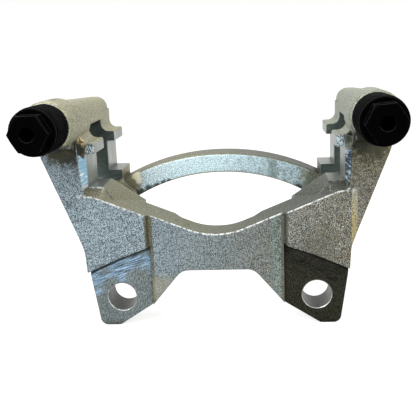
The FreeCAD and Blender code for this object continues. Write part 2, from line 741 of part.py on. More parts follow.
pieces = [casting]
for side, sign in (("left", -1), ("right", 1)):
    for maker, name in ((guide_pin, "guide_pin_"), (pin_boot, "pin_boot_")):
        piece = maker(name + side)
        piece.setExpression("Placement.Base.x", size(f"{sign} * {PIN_X}"))
        piece.setExpression("Placement.Base.z", size("pin_z"))
        pieces.append(piece)
# The right pin's hexagon stands turned a little in its bore.
right_pin = doc.getObject("guide_pin_right")
for axis, value in (("x", "0"), ("y", "1"), ("z", "0")):
    right_pin.setExpression("Placement.Rotation.Axis." + axis, value)
right_pin.setExpression("Placement.Rotation.Angle", size("- right_pin_turn"))
doc.recompute()

for item in doc.Objects:
    if "Invalid" in item.State or "Error" in item.State:
        raise RuntimeError(f"{item.Name} failed: {item.State}")
for item in pieces:
    if item.Shape.isNull() or not item.Shape.isValid():
        raise RuntimeError(f"{item.Label} has no sound shape")

os.makedirs("parts", exist_ok=True)
for item in pieces:
    item.Shape.exportStep(f"parts/{item.Label}.step")
    print(item.Label, len(item.Shape.Solids), "solid,", round(item.Shape.Volume), "mm3,", item.Shape.BoundBox)
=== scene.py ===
import json
import math
from types import SimpleNamespace

import bpy
from bpy.props import FloatProperty, FloatVectorProperty, IntProperty, PointerProperty
from mathutils import Matrix, Vector


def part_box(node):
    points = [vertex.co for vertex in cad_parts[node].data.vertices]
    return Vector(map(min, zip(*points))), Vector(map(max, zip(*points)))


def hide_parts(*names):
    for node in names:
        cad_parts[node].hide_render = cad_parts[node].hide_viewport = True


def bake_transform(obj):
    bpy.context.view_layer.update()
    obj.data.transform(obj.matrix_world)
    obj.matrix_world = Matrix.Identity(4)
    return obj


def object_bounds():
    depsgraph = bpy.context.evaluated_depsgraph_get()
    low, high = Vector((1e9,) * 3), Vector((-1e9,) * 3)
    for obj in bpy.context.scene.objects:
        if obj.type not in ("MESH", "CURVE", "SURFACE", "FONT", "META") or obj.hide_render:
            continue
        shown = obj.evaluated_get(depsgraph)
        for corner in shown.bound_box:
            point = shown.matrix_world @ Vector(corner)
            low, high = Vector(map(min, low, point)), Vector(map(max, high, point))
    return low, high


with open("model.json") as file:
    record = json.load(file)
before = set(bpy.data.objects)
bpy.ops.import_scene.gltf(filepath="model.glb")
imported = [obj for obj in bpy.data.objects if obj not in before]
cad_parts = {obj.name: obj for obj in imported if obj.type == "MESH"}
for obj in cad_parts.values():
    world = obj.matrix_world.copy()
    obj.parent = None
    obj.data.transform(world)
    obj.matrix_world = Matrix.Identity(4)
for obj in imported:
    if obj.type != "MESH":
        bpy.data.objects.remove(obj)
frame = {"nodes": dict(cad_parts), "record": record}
cad_low, cad_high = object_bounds()

bl_info = {
    "name": "Brake caliper bracket",
    "version": (1, 0, 0),
    "blender": (4, 5, 0),
    "location": "3D View > Sidebar > Bracket",
    "description": "Dresses the packed bracket: zinc plated casting, black guide pins and rubber boots",
    "category": "Object",
}

PHOTO_SIDE = 415.0
SENSOR_WIDTH = 36.0
NEAREST_SEEN = 0.01
SIDES = ("left", "right")
# Lamps of the stage: name, place, setting that holds the power, and side in metres.
LAMPS = (
    ("key_lamp", (-0.35, -0.55, 0.55), "key_power", 0.5),
    ("fill_lamp", (0.6, -0.35, 0.25), "fill_power", 0.5),
    ("top_lamp", (0.05, 0.25, 0.7), "top_power", 0.6),
)
WHITE = (1.0, 1.0, 1.0)
FLOOR_SIZE = 40.0
FLOOR_DROP = 0.0002
# Where the tones of the casting change, from none to full along one axis in metres.
RIGHTWARD_X = (-0.05, 0.07)
OUTBOARD_Y = (0.045, 0.058)
LEFT_STRIP_X = (-0.062, -0.066)
ARCH_END_X = (0.043, 0.053)
RIGHT_EAR_X = (0.064, 0.067)
RIGHT_EAR_Y = (0.008, -0.004)
RIGHT_EAR_Z = (0.058, 0.04)
LOW_TOP_Z = (0.082, 0.074)
ROOT_X = (0.0395, 0.038)
ROOT_Y = (0.0, -0.001)
GREEN_START_X = (0.0255, 0.0305)
GREEN_END_X = (0.034, 0.032)
BELOW_BOSS_X = (0.056, 0.066)
BELOW_BOSS_Z = (0.045, 0.078)
LUG_FRONT_X = (0.0668, 0.0664)
LUG_FRONT_Z = (0.0755, 0.0765)
WEB_MIDDLE_X = (0.028, 0.034)
RIGHT_LEDGE_Z = (0.0565, 0.058)
# Where a mask begins and is full as a face turns, as the part of its normal along one axis.
FACES_FRONT = (-0.93, -0.992)
LEFT_STRIP_ALLOWANCE = 0.06
FACES_BACK = (0.8, 0.98)
FACES_UP = (0.4, 0.7)
FACES_LEVEL = (0.3, 0.1)
# Direction that the edges with the painted highlight look in, up and forward.
LIT_EDGE_FACING = (0.0, -0.65, 0.76)
# Depths below the slanting step of an ear, in metres, between which a tone comes or goes: the painted shadow
# under the step and the band of painted reflection.
STEP_SHADOW = (0.0031, 0.0020)
BAND_START = (0.0015, 0.0065)
BAND_END = (0.016, 0.008)
BAND_WANDER = 0.004
# Tones, roundings and reliefs of the finishes.
# Colour of the painted glints in the casting's grain.
GLINT_COLOUR = (0.8, 0.85, 0.88)
MILLED_EDGE_COLOUR = (0.6, 0.62, 0.6)
MILLED_EDGE = 0.0004
MILLED_RELIEF = 0.00008
CAST_RELIEF = 0.0005
# Milled ears: tones below the bright band of painted reflection and in it, their streaks, specks, and turn of
# the streaks; the right ear's darker tones are painted shade on the same finish.
EAR_TONES = {
    "left": {
        "low_colour": (0.06, 0.073, 0.07), "low_streak": (0.25, 0.295, 0.3),
        "band_colour": (0.02, 0.035, 0.05), "band_streak": (0.36, 0.53, 0.7),
        "speck_colour": (0.3, 0.31, 0.26), "angle": 0.3,
    },
    "right": {
        "low_colour": (0.006, 0.006, 0.004), "low_streak": (0.036, 0.036, 0.024),
        "band_colour": (0.003, 0.003, 0.002), "band_streak": (0.026, 0.026, 0.019),
        "speck_colour": (0.2, 0.2, 0.15), "angle": -0.35,
    },
}
# Other machined faces: tones, and turn, spacing and length of the cutter's marks; the dark tones of the bore
# walls and of the walls beside the rotor are painted shade.
MILLED_FACES = {
    "slot": {
        "name": "broached_slot", "colour": (0.25, 0.27, 0.24), "streak_colour": (0.36, 0.38, 0.36),
        "angle": 1.57, "spacing": 0.0008, "length": 30.0,
    },
    "bore": {
        "name": "bore_wall", "colour": (0.012, 0.015, 0.01), "streak_colour": (0.06, 0.07, 0.05),
        "angle": 0.0, "spacing": 0.0005, "length": 10.0, "gloss": 0.3, "reach": 0.012,
    },
    "seat": {
        "name": "bolt_seat", "colour": (0.17, 0.19, 0.18), "streak_colour": (0.34, 0.37, 0.37),
        "angle": 0.6, "spacing": 0.0006, "length": 14.0,
    },
    "rim": {
        "name": "hole_rim", "colour": (0.3, 0.31, 0.29), "streak_colour": (0.7, 0.72, 0.7),
        "angle": 0.0, "spacing": 0.0005, "length": 10.0,
    },
    "gap": {
        "name": "gap_wall", "colour": (0.075, 0.098, 0.09), "streak_colour": (0.16, 0.19, 0.175),
        "angle": 0.3, "spacing": 0.001, "length": 10.0,
    },
    "strip_left": {
        "name": "strip_left", "colour": (0.3, 0.52, 0.68), "streak_colour": (1.0, 1.0, 1.0),
        "angle": 0.0, "spacing": 0.0012, "length": 12.0, "depth": 12.0, "crisp": 0.1,
    },
    "strip_right": {
        "name": "strip_right", "colour": (0.012, 0.025, 0.045), "streak_colour": (0.55, 0.75, 0.9),
        "angle": 0.0, "spacing": 0.0012, "length": 8.0, "depth": 8.0, "crisp": 0.25,
    },
}
# Limits by which faces of the casting are told apart: distances in metres, and parts of a normal.
SAME_PLACE = 0.0002
RIM_DEPTH = 0.0005
HOLE_REACH = 0.009
SQUARELY = 0.99
STRIP_FACING = 0.85
RIM_INWARD = 0.5
WALL_INWARD = 0.9
# Small sizes of the boots.
RING_POINTS = 72
FOLD_STEPS = 8
FOLD_SHARPNESS = 1.6
COLLAR_BEVEL_DEPTH = 0.0001
CORNER_DEPTH = 0.0004
CORNER_INSET = 0.0005
SMOOTH_ANGLE = math.radians(50.0)
# Stains, painted shade and painted highlights on the casting: middle, reach, colour and strength.
STAINS_AND_PAINTED_LIGHT = (
    # Painted shade below the bosses
    ((-0.0735, -0.0070, 0.0790), 0.0110, (0.020, 0.020, 0.010), 0.90),
    ((-0.0678, -0.0020, 0.0796), 0.0090, (0.022, 0.023, 0.012), 1.00),
    ((0.0735, -0.0090, 0.0795), 0.0130, (0.020, 0.022, 0.012), 1.00),
    ((0.0690, 0.0010, 0.0810), 0.0060, (0.030, 0.033, 0.020), 0.90),
    # Painted shade on the front ends of the bosses, under the boots
    ((0.0715, -0.0270, 0.0830), 0.0120, (0.012, 0.012, 0.009), 1.00),
    ((-0.0745, -0.0270, 0.0815), 0.0110, (0.014, 0.014, 0.010), 1.00),
    # Wing beside the right ear
    ((0.0520, -0.0060, 0.0270), 0.0140, (0.080, 0.080, 0.055), 0.40),
    # Painted golden highlight beside the left strip, with an orange spot beside it
    ((-0.0686, 0.0028, 0.0836), 0.0042, (0.85, 0.68, 0.36), 0.85),
    ((-0.0712, -0.0010, 0.0828), 0.0020, (0.60, 0.32, 0.11), 0.60),
    # Left end of the arch: an olive patch with two painted highlights
    ((-0.0540, 0.0600, 0.0500), 0.0085, (0.150, 0.145, 0.080), 0.70),
    ((-0.0505, 0.0600, 0.0550), 0.0036, (0.95, 0.88, 0.62), 0.80),
    ((-0.0492, 0.0600, 0.0520), 0.0030, (0.95, 0.92, 0.76), 0.80),
    # Painted shade on the underside of the arch, left
    ((-0.0480, 0.0600, 0.0436), 0.0050, (0.020, 0.024, 0.014), 0.90),
    ((-0.0430, 0.0603, 0.0460), 0.0042, (0.020, 0.024, 0.014), 0.90),
    ((-0.0385, 0.0603, 0.0481), 0.0034, (0.025, 0.030, 0.020), 0.90),
    ((-0.0345, 0.0603, 0.0498), 0.0028, (0.030, 0.036, 0.026), 0.90),
    ((-0.0310, 0.0603, 0.0510), 0.0022, (0.040, 0.048, 0.036), 0.90),
    # Painted shade on the outer sides below the bosses
    ((-0.0790, -0.0062, 0.0786), 0.0080, (0.030, 0.030, 0.018), 1.00),
    ((0.0810, -0.0054, 0.0768), 0.0070, (0.045, 0.043, 0.025), 0.85),
    # Painted shade on the underside of the arch, right
    ((0.0455, 0.0603, 0.0446), 0.0044, (0.020, 0.024, 0.014), 0.90),
    # Top of the left boss
    ((-0.0764, -0.0140, 0.1050), 0.0050, (0.060, 0.060, 0.035), 0.60),
    # Right end of the arch
    ((0.0560, 0.0620, 0.0500), 0.0110, (0.060, 0.075, 0.050), 0.60),
    # Straw coloured place low on the web
    ((-0.0300, -0.0015, 0.0040), 0.0110, (0.290, 0.270, 0.180), 0.55),
)
MOUNTS = {mount["name"]: mount for mount in frame["record"]["mounts"]}
BOLT_PLACE = {side: Vector(MOUNTS["caliper_bolt_" + side]["pos_m"]) for side in SIDES}
MOUNT_X = MOUNTS["knuckle_bolts"]["dims"]["spacing_x_mm"] / 2000.0


# Helpers for node trees
def set_inputs(tree, node, values):
    """Sets or links the inputs of a node, by name or number."""
    for name, value in values.items():
        socket = node.inputs[name]
        if isinstance(value, bpy.types.NodeSocket):
            tree.links.new(value, socket)
        elif socket.type == "RGBA":
            socket.default_value = (*value, 1.0)
        else:
            socket.default_value = value


def add_node(tree, kind, inputs=None, **settings):
    """A new node with its settings, and its inputs set or linked."""
    made = tree.nodes.new(kind)
    for name, value in settings.items():
        setattr(made, name, value)
    set_inputs(tree, made, inputs or {})
    return made


def compute(tree, operation, *values):
    """One step of arithmetic on numbers or sockets."""
    return add_node(tree, "ShaderNodeMath", dict(enumerate(values)), operation=operation).outputs[0]


def product(tree, first, *others):
    """Numbers or masks multiplied together."""
    result = first
    for other in others:
        result = compute(tree, "MULTIPLY", result, other)
    return result


def split(tree, vector):
    """The X, Y and Z of a vector."""
    return add_node(tree, "ShaderNodeSeparateXYZ", {"Vector": vector}).outputs


def noise(tree, vector, scale, detail=2.0, roughness=0.5):
    values = {"Vector": vector, "Scale": scale, "Detail": detail, "Roughness": roughness}
    return add_node(tree, "ShaderNodeTexNoise", values).outputs["Fac"]


def step_between(tree, value, low, high, low_out=0.0, high_out=1.0):
    """Rises smoothly from low_out to high_out as the value goes from low to high."""
    values = {"Value": value, "From Min": low, "From Max": high, "To Min": low_out, "To Max": high_out}
    made = add_node(tree, "ShaderNodeMapRange", values, interpolation_type="SMOOTHSTEP")
    return made.outputs["Result"]


def blend_colours(tree, factor, first, second, how="MIX"):
    """The first colour where the factor is 0, and the second where it is 1."""
    inputs = {0: factor, 6: first, 7: second}
    return add_node(tree, "ShaderNodeMix", inputs, data_type="RGBA", blend_type=how).outputs[2]


def object_place(tree):
    return add_node(tree, "ShaderNodeTexCoord").outputs["Object"]


def new_group(name, inputs, outputs):
    """A node group with named inputs (name, kind, default) and outputs (name, kind)."""
    group = bpy.data.node_groups.new(name, "ShaderNodeTree")
    for label, kind, default in inputs:
        socket = group.interface.new_socket(label, in_out="INPUT", socket_type=kind)
        socket.default_value = default
    for label, kind in outputs:
        group.interface.new_socket(label, in_out="OUTPUT", socket_type=kind)
    return group, group.nodes.new("NodeGroupInput").outputs, group.nodes.new("NodeGroupOutput").inputs


def use_group(tree, name, inputs):
    """Places a node group and gives its outputs."""
    made = tree.nodes.new("ShaderNodeGroup")
    made.node_tree = bpy.data.node_groups[name]
    set_inputs(tree, made, inputs)
    return made.outputs


FLOAT, VECTOR = "NodeSocketFloat", "NodeSocketVector"


def make_cast_grain():
    """Fine grain of a plated sand casting: bright and dark specks of one size, and painted glints."""
    tree, given, result = new_group("cast_grain", [
        ("Grain", FLOAT, 0.0007),
        ("Contrast", FLOAT, 0.5),
        ("Glint", FLOAT, 0.5),
    ], [("Shade", FLOAT), ("Glints", FLOAT), ("Height", FLOAT)])
    place = object_place(tree)
    fine = compute(tree, "DIVIDE", 1.0, given["Grain"])
    coarse = product(tree, fine, 0.45)
    small = noise(tree, place, fine, 1.0)
    large = noise(tree, place, coarse, 2.0)
    patches = noise(tree, place, 55.0, 3.0)
    both = compute(tree, "ADD", product(tree, small, 0.7), product(tree, large, 0.3))
    swing = step_between(tree, both, 0.38, 0.62, -0.5, 0.5)
    drift = step_between(tree, patches, 0.3, 0.7, -0.08, 0.08)
    shade = compute(tree, "ADD", 1.0, product(tree, swing, given["Contrast"]))
    tree.links.new(compute(tree, "ADD", shade, drift), result["Shade"])
    sparks = step_between(tree, noise(tree, place, product(tree, fine, 1.3), 0.0), 0.66, 0.78)
    tree.links.new(product(tree, sparks, given["Glint"]), result["Glints"])
    tree.links.new(both, result["Height"])


def make_crevice_mask():
    """Finds roots and corners that lie in the shade of other walls."""
    tree, given, result = new_group("crevice_mask", [("Reach", FLOAT, 0.003)], [("Crevice", FLOAT)])
    open_share = add_node(tree, "ShaderNodeAmbientOcclusion", {"Distance": given["Reach"]}, samples=8)
    tree.links.new(step_between(tree, open_share.outputs["AO"], 0.85, 0.35), result["Crevice"])


def make_edge_mask():
    """Finds the outer edges of a solid, and rounds them by a given radius."""
    tree, given, result = new_group("edge_mask", [("Radius", FLOAT, 0.0006)], [
        ("Edge", FLOAT), ("Normal", VECTOR),
    ])
    rounded = add_node(tree, "ShaderNodeBevel", {"Radius": given["Radius"]}, samples=6)
    facing = add_node(tree, "ShaderNodeNewGeometry").outputs["Normal"]
    dot = add_node(tree, "ShaderNodeVectorMath", {0: rounded.outputs[0], 1: facing}, operation="DOT_PRODUCT")
    tree.links.new(step_between(tree, dot.outputs["Value"], 0.995, 0.86), result["Edge"])
    tree.links.new(rounded.outputs[0], result["Normal"])


def make_tool_marks():
    """Long fine scratches along one direction in the XZ plane, or in depth, as a cutter leaves them."""
    tree, given, result = new_group("tool_marks", [
        ("Angle", FLOAT, 0.0),
        ("Spacing", FLOAT, 0.0006),
        ("Length", FLOAT, 20.0),
        ("Depth", FLOAT, 1.0),
    ], [("Mark", FLOAT), ("Height", FLOAT)])
    turned = add_node(tree, "ShaderNodeVectorRotate", {
        "Vector": object_place(tree), "Angle": given["Angle"],
    }, rotation_type="Y_AXIS")
    parts = split(tree, turned.outputs[0])
    along = compute(tree, "DIVIDE", parts["X"], given["Length"])
    inward = compute(tree, "DIVIDE", parts["Y"], given["Depth"])
    drawn = add_node(tree, "ShaderNodeCombineXYZ", {"X": along, "Y": inward, "Z": parts["Z"]})
    lines = noise(tree, drawn.outputs[0], compute(tree, "DIVIDE", 1.0, given["Spacing"]), 2.0, 0.6)
    tree.links.new(step_between(tree, lines, 0.3, 0.7), result["Mark"])
    tree.links.new(lines, result["Height"])


def make_spot_mask():
    """A soft uneven spot about one place, 1 at its middle."""
    tree, given, result = new_group("spot_mask", [
        ("Centre", VECTOR, (0.0, 0.0, 0.0)),
        ("Radius", FLOAT, 0.01),
    ], [("Mask", FLOAT)])
    place = object_place(tree)
    away = add_node(tree, "ShaderNodeVectorMath", {0: place, 1: given["Centre"]}, operation="DISTANCE")
    uneven = step_between(tree, noise(tree, place, 350.0, 2.0), 0.3, 0.7, 0.75, 1.25)
    reach = product(tree, given["Radius"], uneven)
    share = compute(tree, "DIVIDE", away.outputs["Value"], reach)
    tree.links.new(step_between(tree, share, 1.0, 0.35), result["Mask"])


def new_material(name, roughness, metallic):
    material = bpy.data.materials.new(name)
    material.use_nodes = True
    shader = material.node_tree.nodes["Principled BSDF"]
    shader.inputs["Roughness"].default_value = roughness
    shader.inputs["Metallic"].default_value = metallic
    return material, material.node_tree, shader


def add_bump(tree, shader, height, depth, strength, normal=None):
    """Relief of a stated depth in metres."""
    values = {"Height": height, "Distance": depth, "Strength": strength}
    if normal is not None:
        values["Normal"] = normal
    bump = add_node(tree, "ShaderNodeBump", values)
    tree.links.new(bump.outputs[0], shader.inputs["Normal"])


def shade_by(tree, tone, level):
    """The tone multiplied by one level of grey."""
    grey = add_node(tree, "ShaderNodeCombineColor", {0: level, 1: level, 2: level}).outputs[0]
    return blend_colours(tree, 1.0, tone, grey, "MULTIPLY")


def darken(tree, tone, mask, share):
    """The tone, darker by a share where the mask is 1."""
    return shade_by(tree, tone, compute(tree, "SUBTRACT", 1.0, product(tree, mask, share)))


# Plating of the casting, one function for each of its layers
def casting_masks(tree):
    """Where a point of the casting lies, which way it looks, and the masks that its layers share."""
    place = split(tree, object_place(tree))
    facing = split(tree, add_node(tree, "ShaderNodeNewGeometry").outputs["Normal"])
    allowance = step_between(tree, place["X"], *LEFT_STRIP_X, 0.0, LEFT_STRIP_ALLOWANCE)
    return SimpleNamespace(
        place=place,
        facing=facing,
        across=compute(tree, "ABSOLUTE", place["X"]),
        front=step_between(tree, compute(tree, "SUBTRACT", facing["Y"], allowance), *FACES_FRONT),
        back=step_between(tree, facing["Y"], *FACES_BACK),
        outboard=step_between(tree, place["Y"], *OUTBOARD_Y),
        rightward=step_between(tree, place["X"], *RIGHTWARD_X))


def side_plating(tree, masks, settings):
    """Straw coloured sides, partly a painted reflection, darker on the right by painted shade, with a painted
    warm reflection on the yellower strip beside the right ear.
    """
    tone = blend_colours(tree, masks.rightward, settings.side_colour, settings.side_right_shade_colour)
    warm_reflection = product(
        tree, step_between(tree, masks.place["X"], *RIGHT_EAR_X),
        step_between(tree, masks.place["Y"], *RIGHT_EAR_Y),
        step_between(tree, masks.place["Z"], *RIGHT_EAR_Z))
    return blend_colours(tree, warm_reflection, tone, settings.straw_reflection_colour)


def shaded_sides(tree, masks, settings, tone):
    """The sides, with painted shade on their low tops and at the roots beside the ears."""
    low_top = product(
        tree, step_between(tree, masks.facing["Z"], *FACES_UP),
        step_between(tree, masks.place["Z"], *LOW_TOP_Z))
    top_shade = step_between(
        tree, masks.rightward, 0.0, 1.0, settings.top_shade, settings.top_right_shade)
    tone = darken(tree, tone, low_top, top_shade)
    root = product(
        tree, step_between(tree, masks.across, *ROOT_X), step_between(tree, masks.place["Y"], *ROOT_Y),
        step_between(tree, masks.facing["Z"], *FACES_LEVEL))
    return darken(tree, tone, root, settings.root_shade)


def front_plating(tree, masks, settings, side_tone):
    """Bluish front, partly a painted reflection and darker on the right by painted shade, with the arch
    brighter by a painted reflection, warm patches and a green band beside the right ear.
    """
    tone = blend_colours(tree, masks.rightward, settings.front_colour, settings.front_right_shade_colour)
    arch_sheen = blend_colours(tree, masks.rightward, settings.arch_sheen_colour, settings.arch_right_sheen_colour)
    arch_sheen = blend_colours(tree, step_between(tree, masks.across, *ARCH_END_X), arch_sheen, side_tone)
    tone = blend_colours(tree, masks.outboard, tone, arch_sheen)
    warm = step_between(tree, noise(tree, object_place(tree), 420.0, 3.0), 0.4, 0.68, 0.0, 0.6)
    tone = blend_colours(tree, product(tree, warm, masks.rightward), tone, settings.warm_colour)
    green_band = product(
        tree, step_between(tree, masks.place["X"], *GREEN_START_X),
        step_between(tree, masks.place["X"], *GREEN_END_X, 0.0, 0.55))
    return blend_colours(tree, green_band, tone, settings.green_colour)


def boss_and_lug_fronts(tree, masks, settings, tone):
    """The fronts below the bosses, darker with painted shade that is olive on the right, and the pale fronts
    of the lugs.
    """
    boss_shade = product(
        tree, step_between(tree, masks.place["Z"], *BELOW_BOSS_Z),
        step_between(tree, masks.across, *BELOW_BOSS_X))
    tone = darken(tree, tone, product(tree, boss_shade, masks.front), 0.35)
    olive_shade = product(tree, boss_shade, boss_shade, masks.rightward, masks.front, 0.7)
    tone = blend_colours(tree, olive_shade, tone, settings.boss_shade_olive_colour)
    lug_front = product(
        tree, masks.front, step_between(tree, masks.across, *LUG_FRONT_X),
        step_between(tree, masks.place["Z"], *LUG_FRONT_Z))
    return blend_colours(tree, lug_front, tone, settings.lug_colour)


def specked(tree, masks, settings, grain, tone):
    """The tone with dark and bright specks and painted glints, weaker on the sides, the arch and the back."""
    share = step_between(tree, masks.front, 0.0, 1.0, settings.side_contrast, 1.0)
    share = product(tree, share, step_between(tree, masks.outboard, 0.0, 1.0, 1.0, 0.6))
    share = compute(tree, "MAXIMUM", share, product(tree, masks.back, 0.8))
    share = product(tree, share, step_between(tree, masks.across, *WEB_MIDDLE_X, 0.8, 1.0))
    swing = product(tree, compute(tree, "SUBTRACT", grain["Shade"], 1.0), share)
    tone = shade_by(tree, tone, compute(tree, "ADD", 1.0, swing))
    return blend_colours(tree, product(tree, grain["Glints"], share), tone, GLINT_COLOUR)


def edge_highlights_and_warm_edges(tree, masks, settings, edges, tone):
    """Painted highlights on the edges that face up and forward, and a warm tint on the outer edges on the
    right.
    """
    lit = add_node(
        tree, "ShaderNodeVectorMath", {0: edges["Normal"], 1: LIT_EDGE_FACING}, operation="DOT_PRODUCT")
    ledge = product(tree, masks.rightward, step_between(tree, masks.place["Z"], *RIGHT_LEDGE_Z))
    beads = step_between(tree, noise(tree, object_place(tree), 900.0, 2.0), 0.38, 0.55, 0.15, 1.0)
    highlit = product(
        tree, edges["Edge"], step_between(tree, lit.outputs["Value"], 0.72, 0.92, 0.08, 1.0),
        compute(tree, "SUBTRACT", 1.0, ledge), beads)
    tone = blend_colours(tree, highlit, tone, settings.edge_highlight_colour)
    outward = step_between(tree, split(tree, edges["Normal"])["X"], 0.3, 0.6, 0.0, 0.75)
    warm_outer_edge = product(tree, edges["Edge"], masks.rightward, outward)
    return blend_colours(tree, warm_outer_edge, tone, settings.warm_edge_colour)


def pits_stains_and_painted_light(tree, masks, settings, tone):
    """Small pits on all but the front, and the stains, painted shade and painted highlights of the list."""
    pits = step_between(tree, noise(tree, object_place(tree), 300.0, 1.0), 0.69, 0.76, 0.0, 0.6)
    pits = product(tree, pits, compute(tree, "SUBTRACT", 1.0, masks.front))
    tone = blend_colours(tree, pits, tone, settings.pit_colour)
    for middle, reach, colour, strength in STAINS_AND_PAINTED_LIGHT:
        listed_spot = use_group(tree, "spot_mask", {"Centre": middle, "Radius": reach})
        tone = blend_colours(tree, product(tree, listed_spot["Mask"], strength), tone, colour)
    return tone


def cast_zinc(settings):
    """Bright zinc on raw cast iron: bluish towards the knuckle, straw coloured on the sides, both partly
    painted reflections of the lamps, and darker on the right by painted shade.
    """
    material, tree, shader = new_material("cast_zinc", 0.5, 0.75)
    grain = use_group(tree, "cast_grain", {
        "Grain": settings.grain, "Contrast": settings.contrast, "Glint": settings.glint,
    })
    edges = use_group(tree, "edge_mask", {"Radius": settings.edge_round})
    masks = casting_masks(tree)
    side_tone = side_plating(tree, masks, settings)
    front_tone = front_plating(tree, masks, settings, side_tone)
    side_tone = shaded_sides(tree, masks, settings, side_tone)
    tone = blend_colours(tree, masks.front, side_tone, front_tone)
    tone = blend_colours(tree, masks.back, tone, settings.back_colour)
    tone = boss_and_lug_fronts(tree, masks, settings, tone)
    tone = specked(tree, masks, settings, grain, tone)
    tone = edge_highlights_and_warm_edges(tree, masks, settings, edges, tone)
    tone = pits_stains_and_painted_light(tree, masks, settings, tone)
    # Painted shade in roots and corners.
    crevice = use_group(tree, "crevice_mask", {"Reach": 0.004})
    tone = darken(tree, tone, crevice["Crevice"], settings.crevice_shade)
    roughness = step_between(tree, grain["Height"], 0.3, 0.7, 0.6, 0.4)
    set_inputs(tree, shader, {"Base Color": tone, "Roughness": roughness})
    add_bump(tree, shader, grain["Height"], CAST_RELIEF, 0.7, edges["Normal"])
    return material


# Finishes of the machined faces, the pins and the boots
def milled_zinc(name, colour, streak_colour, angle, spacing, length,
                depth=1.0, crisp=0.0, gloss=0.9, reach=0.004):
    """Zinc on a machined face, with the cutter's marks along one direction."""
    material, tree, shader = new_material(name, 0.38, gloss)
    marks = use_group(tree, "tool_marks", {
        "Angle": angle, "Spacing": spacing, "Length": length, "Depth": depth,
    })
    edges = use_group(tree, "edge_mask", {"Radius": MILLED_EDGE})
    patches = step_between(tree, noise(tree, object_place(tree), 90.0, 3.0), 0.35, 0.65)
    share = product(tree, marks["Mark"], step_between(tree, patches, 0.0, 1.0, 0.35, 1.0))
    share = step_between(tree, share, crisp, 1.0 - crisp)
    tone = blend_colours(tree, share, colour, streak_colour)
    tone = blend_colours(tree, product(tree, edges["Edge"], 0.35), tone, MILLED_EDGE_COLOUR)
    # Painted shade in corners.
    crevice = use_group(tree, "crevice_mask", {"Reach": reach})
    tone = darken(tree, tone, crevice["Crevice"], 0.85)
    roughness = step_between(tree, marks["Mark"], 0.0, 1.0, 0.45, 0.3)
    set_inputs(tree, shader, {"Base Color": tone, "Roughness": roughness})
    add_bump(tree, shader, marks["Height"], MILLED_RELIEF, 0.5, edges["Normal"])
    return material


def depth_below_step(tree, settings):
    """How far a point of an ear lies below the slanting, slightly bowed step."""
    place = split(tree, object_place(tree))
    across = compute(tree, "ABSOLUTE", place["X"])
    drop = product(tree, compute(tree, "SUBTRACT", across, settings.ear_inner_x), settings.step_slope)
    from_middle = compute(tree, "SUBTRACT", across, settings.step_middle_x)
    from_middle = compute(tree, "DIVIDE", from_middle, settings.step_half)
    bow = product(tree, from_middle, from_middle, settings.step_bow)
    line = compute(tree, "SUBTRACT", settings.step_z + settings.step_bow, bow)
    line = compute(tree, "SUBTRACT", line, drop)
    return compute(tree, "SUBTRACT", line, place["Z"])


def milled_ear(name, settings, low_colour, low_streak, band_colour, band_streak, speck_colour, angle):
    """Milled face of an ear: the cutter's streaks, brightened by a painted reflection in a band below the
    slanting step, with a painted shadow right under the step, duller further down.
    """
    material, tree, shader = new_material(name, 0.36, 0.9)
    depth = depth_below_step(tree, settings)
    shadow = step_between(tree, depth, *STEP_SHADOW)
    wander = step_between(
        tree, noise(tree, object_place(tree), 130.0, 2.0), 0.3, 0.7, -BAND_WANDER, BAND_WANDER)
    depth = compute(tree, "ADD", depth, wander)
    band = product(
        tree, step_between(tree, depth, *BAND_END), step_between(tree, depth, *BAND_START, 0.2, 1.0))
    along = use_group(tree, "tool_marks", {"Angle": angle, "Spacing": 0.0006, "Length": 16.0})
    upright = use_group(tree, "tool_marks", {"Angle": 1.5, "Spacing": 0.0004, "Length": 5.0})
    low_tone = blend_colours(tree, upright["Mark"], low_colour, low_streak)
    band_tone = blend_colours(tree, along["Mark"], band_colour, band_streak)
    tone = blend_colours(tree, band, low_tone, band_tone)
    grain = use_group(tree, "cast_grain", {"Grain": settings.grain, "Contrast": 0.7, "Glint": 0.5})
    dull = compute(tree, "SUBTRACT", 2.0, product(tree, grain["Shade"], 1.1))
    tone = darken(tree, tone, compute(tree, "SUBTRACT", dull, 0.75), 0.8)
    tone = blend_colours(tree, grain["Glints"], tone, speck_colour)
    edges = use_group(tree, "edge_mask", {"Radius": MILLED_EDGE})
    tone = blend_colours(tree, product(tree, edges["Edge"], 0.3), tone, MILLED_EDGE_COLOUR)
    # Painted shade in corners, and the painted shadow right under the step.
    crevice = use_group(tree, "crevice_mask", {"Reach": 0.006})
    tone = darken(tree, tone, compute(tree, "MAXIMUM", crevice["Crevice"], shadow), 0.88)
    height = compute(tree, "ADD", along["Height"], upright["Height"])
    roughness = step_between(tree, height, 0.8, 1.2, 0.46, 0.3)
    set_inputs(tree, shader, {"Base Color": tone, "Roughness": roughness})
    add_bump(tree, shader, height, MILLED_RELIEF, 0.5, edges["Normal"])
    return material


def black_steel(settings):
    """Blackened steel of the guide pins, with a painted highlight along the edges that face up."""
    material, tree, shader = new_material("black_steel", 0.4, 0.0)
    shader.inputs["Specular IOR Level"].default_value = settings.shine
    edges = use_group(tree, "edge_mask", {"Radius": 0.00035})
    specks = noise(tree, object_place(tree), 1800.0, 2.0)
    tone = blend_colours(tree, step_between(tree, specks, 0.45, 0.75), settings.colour, settings.speck_colour)
    upward = step_between(tree, split(tree, edges["Normal"])["Z"], 0.05, 0.5, 0.1, settings.edge_highlight_share)
    tone = blend_colours(tree, product(tree, edges["Edge"], upward), tone, settings.edge_highlight_colour)
    roughness = step_between(tree, specks, 0.3, 0.7, 0.36, 0.48)
    set_inputs(tree, shader, {"Base Color": tone, "Roughness": roughness})
    add_bump(tree, shader, specks, 0.00005, 0.3, edges["Normal"])
    return material


